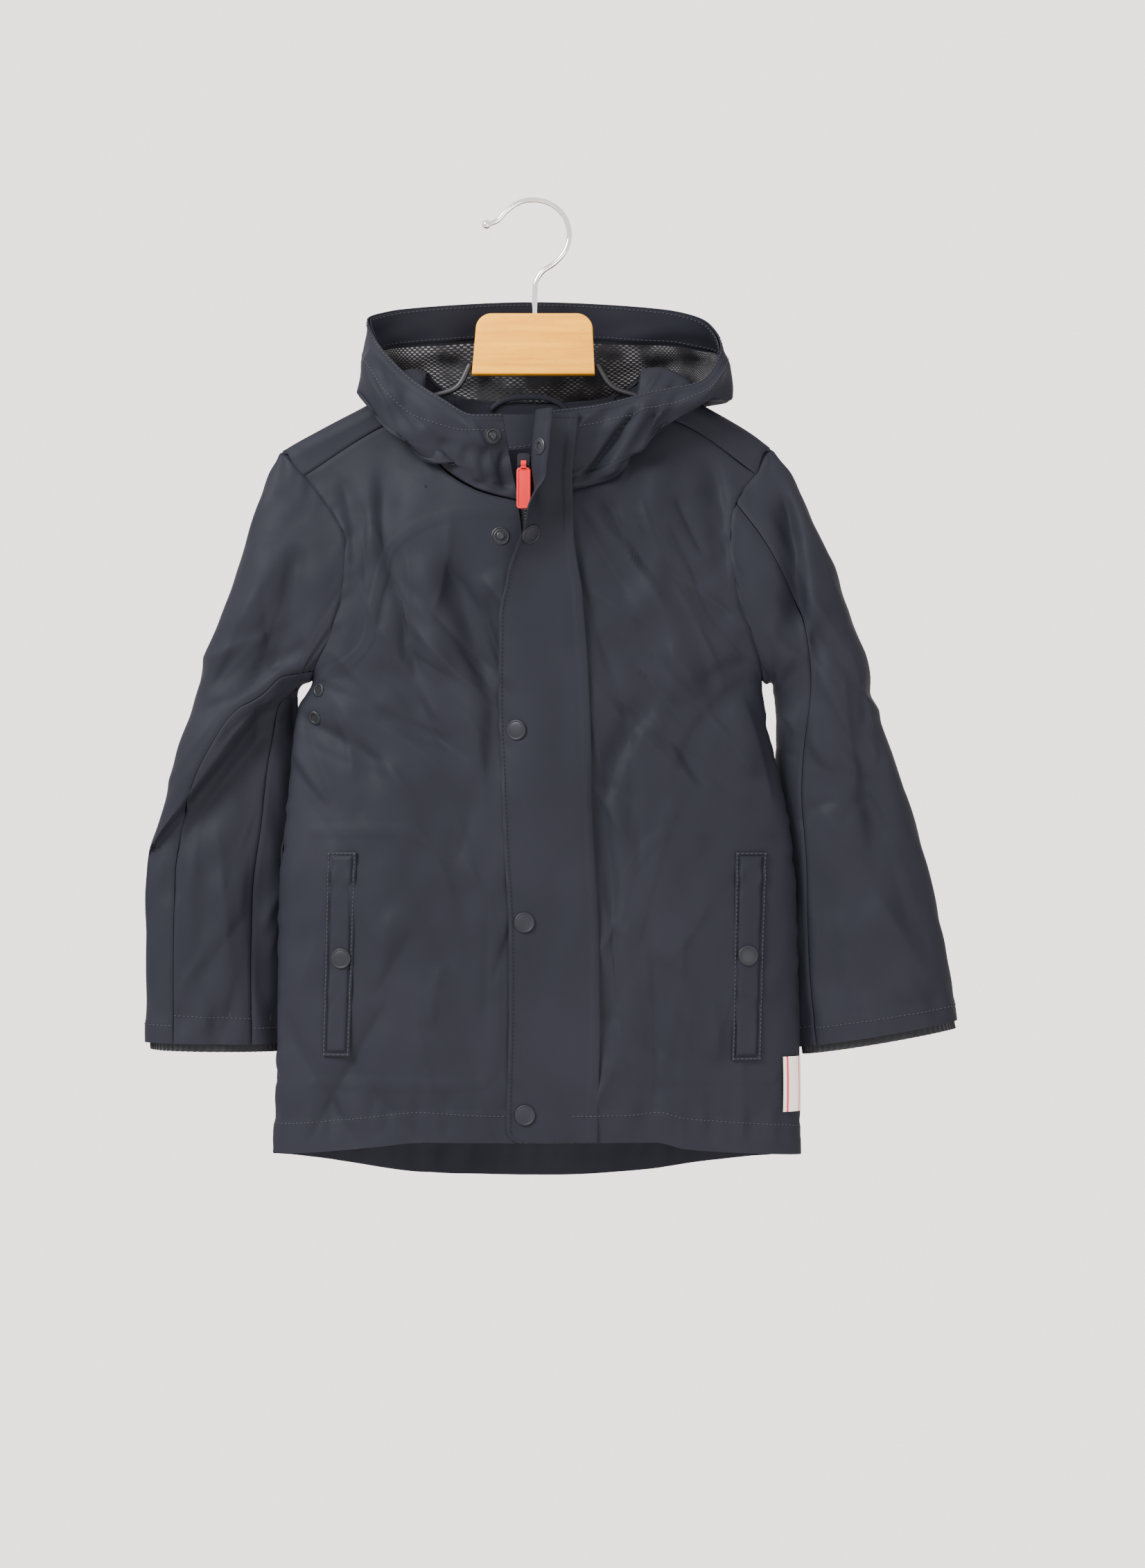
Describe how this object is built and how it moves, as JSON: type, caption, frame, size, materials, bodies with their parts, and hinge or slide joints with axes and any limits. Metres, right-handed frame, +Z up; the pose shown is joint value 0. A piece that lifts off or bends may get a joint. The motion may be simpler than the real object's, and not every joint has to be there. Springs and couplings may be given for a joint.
{
  "type": "kids raincoat on hanger",
  "caption": "Child's hooded zip raincoat with a snapped storm flap, welt pockets, two-piece sleeves and a dropped back hem, hanging flat on a wooden-headed wire hanger.",
  "frame": {"origin": "Inner top of the hanger's hook, where a rail bears", "axes": "+Z up along the coat's length, the front faces -Y, +X to the viewer's right as seen from the front"},
  "size_m": [0.5873, 0.1228, 0.7088],
  "materials": {
    "shell": "satin",
    "net": "matte",
    "rib": "matte",
    "cap": "satin",
    "nickel": "satin",
    "pull": "matte",
    "label": "matte",
    "wood": "satin",
    "wire": "polished"
  },
  "bodies": {
    "coat": {"front_right": "shell", "front_left": "shell", "back": "shell", "sleeve_under_right": "shell", "sleeve_upper_right": "shell", "inner_cuff_right": "rib", "sleeve_under_left": "shell", "sleeve_upper_left": "shell", "inner_cuff_left": "rib", "hood_right": "shell", "hood_left": "shell", "hood_facing": "shell", "hood_lining": "net", "flap": "shell", "zip_tape": "rib", "chin_guard": "shell", "neck_facing": "shell", "hang_loop": "shell", "welt_right": "shell", "welt_left": "shell", "side_label": "label", "snap_flap_1": "cap", "snap_flap_2": "cap", "snap_flap_3": "cap", "snap_flap_4": "cap", "snap_flap_5": "cap", "snap_pocket_right": "cap", "snap_pocket_left": "cap", "snap_socket": "nickel", "stud_collar": "nickel", "stud_front": "nickel", "eyelet_1": "nickel", "eyelet_2": "nickel", "zip_slider": "nickel", "hanger_plate": "wood", "hanger_hook": "wire", "hanger_arm_right": "wire", "hanger_arm_left": "wire"},
    "zip_pull": {"zip_pull": "pull"}
  },
  "joints": [
    {"name": "zip_pull_swing", "type": "hinge", "parent": "coat", "child": "zip_pull", "pos_m": [-0.0075, -0.0416, -0.192], "axis": [-1, 0, 0], "range_deg": [0, 165]}
  ]
}
